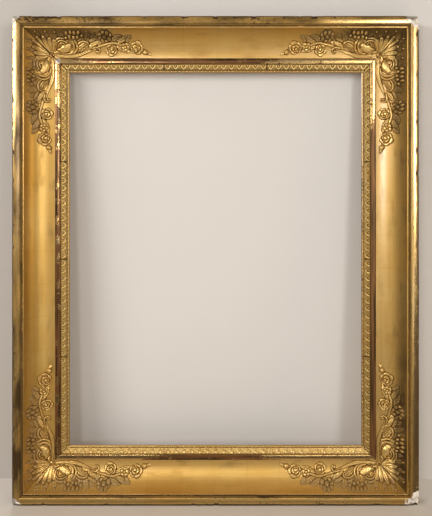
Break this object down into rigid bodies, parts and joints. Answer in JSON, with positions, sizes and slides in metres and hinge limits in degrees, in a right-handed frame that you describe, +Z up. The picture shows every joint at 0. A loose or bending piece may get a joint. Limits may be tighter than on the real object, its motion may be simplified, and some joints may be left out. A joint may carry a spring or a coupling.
{
  "type": "picture frame",
  "caption": "Upright gilded picture frame with a wide hollow moulding, corner palmettes and floral sprays, a leaf-and-dart sight edge, and hanging rings and turn buttons on the back.",
  "frame": {"origin": "middle of the bottom edge that the frame stands on, half way through its depth with the hangers", "axes": "+Z up the height, +X to the right seen from the front, +Y out of the back; the front faces -Y"},
  "size_m": [0.962, 0.0924, 1.158],
  "materials": {
    "gilded_moulding": "water-gilded gold leaf over gesso and red-brown bole, matt in the hollow, worn at the edges",
    "burnished_sight": "burnished gold leaf rubbed through to the bole",
    "gilded_composition": "gilded pressed composition, grimy in the hollows",
    "back_softwood": "bare planed softwood, aged",
    "peg_hardwood": "bare hardwood",
    "hanger_iron": "dark forged iron wire",
    "button_brass": "tarnished brass",
    "screw_steel": "dull steel"
  },
  "bodies": {
    "frame": {"back_rail_bottom": "back_softwood", "back_rail_top": "back_softwood", "back_stile_left": "back_softwood", "back_stile_right": "back_softwood", "button_screws": "screw_steel", "corner_pegs": "peg_hardwood", "leaf_run_bottom_1": "gilded_composition", "leaf_run_bottom_2": "gilded_composition", "leaf_run_bottom_3": "gilded_composition", "leaf_run_left_1": "gilded_composition", "leaf_run_left_2": "gilded_composition", "leaf_run_left_3": "gilded_composition", "leaf_run_left_4": "gilded_composition", "leaf_run_right_1": "gilded_composition", "leaf_run_right_2": "gilded_composition", "leaf_run_right_3": "gilded_composition", "leaf_run_right_4": "gilded_composition", "leaf_run_top_1": "gilded_composition", "leaf_run_top_2": "gilded_composition", "leaf_run_top_3": "gilded_composition", "mitre_key_bottom_left": "peg_hardwood", "mitre_key_bottom_right": "peg_hardwood", "mitre_key_top_left": "peg_hardwood", "mitre_key_top_right": "peg_hardwood", "moulding_bottom": "gilded_moulding", "moulding_left": "gilded_moulding", "moulding_right": "gilded_moulding", "moulding_top": "gilded_moulding", "palmette_bottom_left": "gilded_composition", "palmette_bottom_right": "gilded_composition", "palmette_top_left": "gilded_composition", "palmette_top_right": "gilded_composition", "screw_eye_left": "hanger_iron", "screw_eye_right": "hanger_iron", "sight_moulding_bottom": "burnished_sight", "sight_moulding_left": "burnished_sight", "sight_moulding_right": "burnished_sight", "sight_moulding_top": "burnished_sight", "spray_bottom_left": "gilded_composition", "spray_bottom_right": "gilded_composition", "spray_left_bottom": "gilded_composition", "spray_left_top": "gilded_composition", "spray_right_bottom": "gilded_composition", "spray_right_top": "gilded_composition", "spray_top_left": "gilded_composition", "spray_top_right": "gilded_composition"},
    "left_ring": {"hanging_ring_left": "hanger_iron"},
    "right_ring": {"hanging_ring_right": "hanger_iron"},
    "left_low_button": {"turn_button_left_low": "button_brass"},
    "left_high_button": {"turn_button_left_high": "button_brass"},
    "right_low_button": {"turn_button_right_low": "button_brass"},
    "right_high_button": {"turn_button_right_high": "button_brass"}
  },
  "joints": [
    {"name": "left_ring_swing", "type": "hinge", "parent": "frame", "child": "left_ring", "pos_m": [-0.429, 0.03875, 0.8781], "axis": [1, 0, 0], "range_deg": [-15, 180]},
    {"name": "right_ring_swing", "type": "hinge", "parent": "frame", "child": "right_ring", "pos_m": [0.429, 0.03875, 0.8781], "axis": [1, 0, 0], "range_deg": [-15, 180]},
    {"name": "left_low_button_turn", "type": "hinge", "parent": "frame", "child": "left_low_button", "pos_m": [-0.38, 0.02875, 0.3], "axis": [0, 1, 0], "continuous": true},
    {"name": "left_high_button_turn", "type": "hinge", "parent": "frame", "child": "left_high_button", "pos_m": [-0.38, 0.02875, 0.7], "axis": [0, 1, 0], "continuous": true},
    {"name": "right_low_button_turn", "type": "hinge", "parent": "frame", "child": "right_low_button", "pos_m": [0.38, 0.02875, 0.3], "axis": [0, 1, 0], "continuous": true},
    {"name": "right_high_button_turn", "type": "hinge", "parent": "frame", "child": "right_high_button", "pos_m": [0.38, 0.02875, 0.7], "axis": [0, 1, 0], "continuous": true}
  ]
}
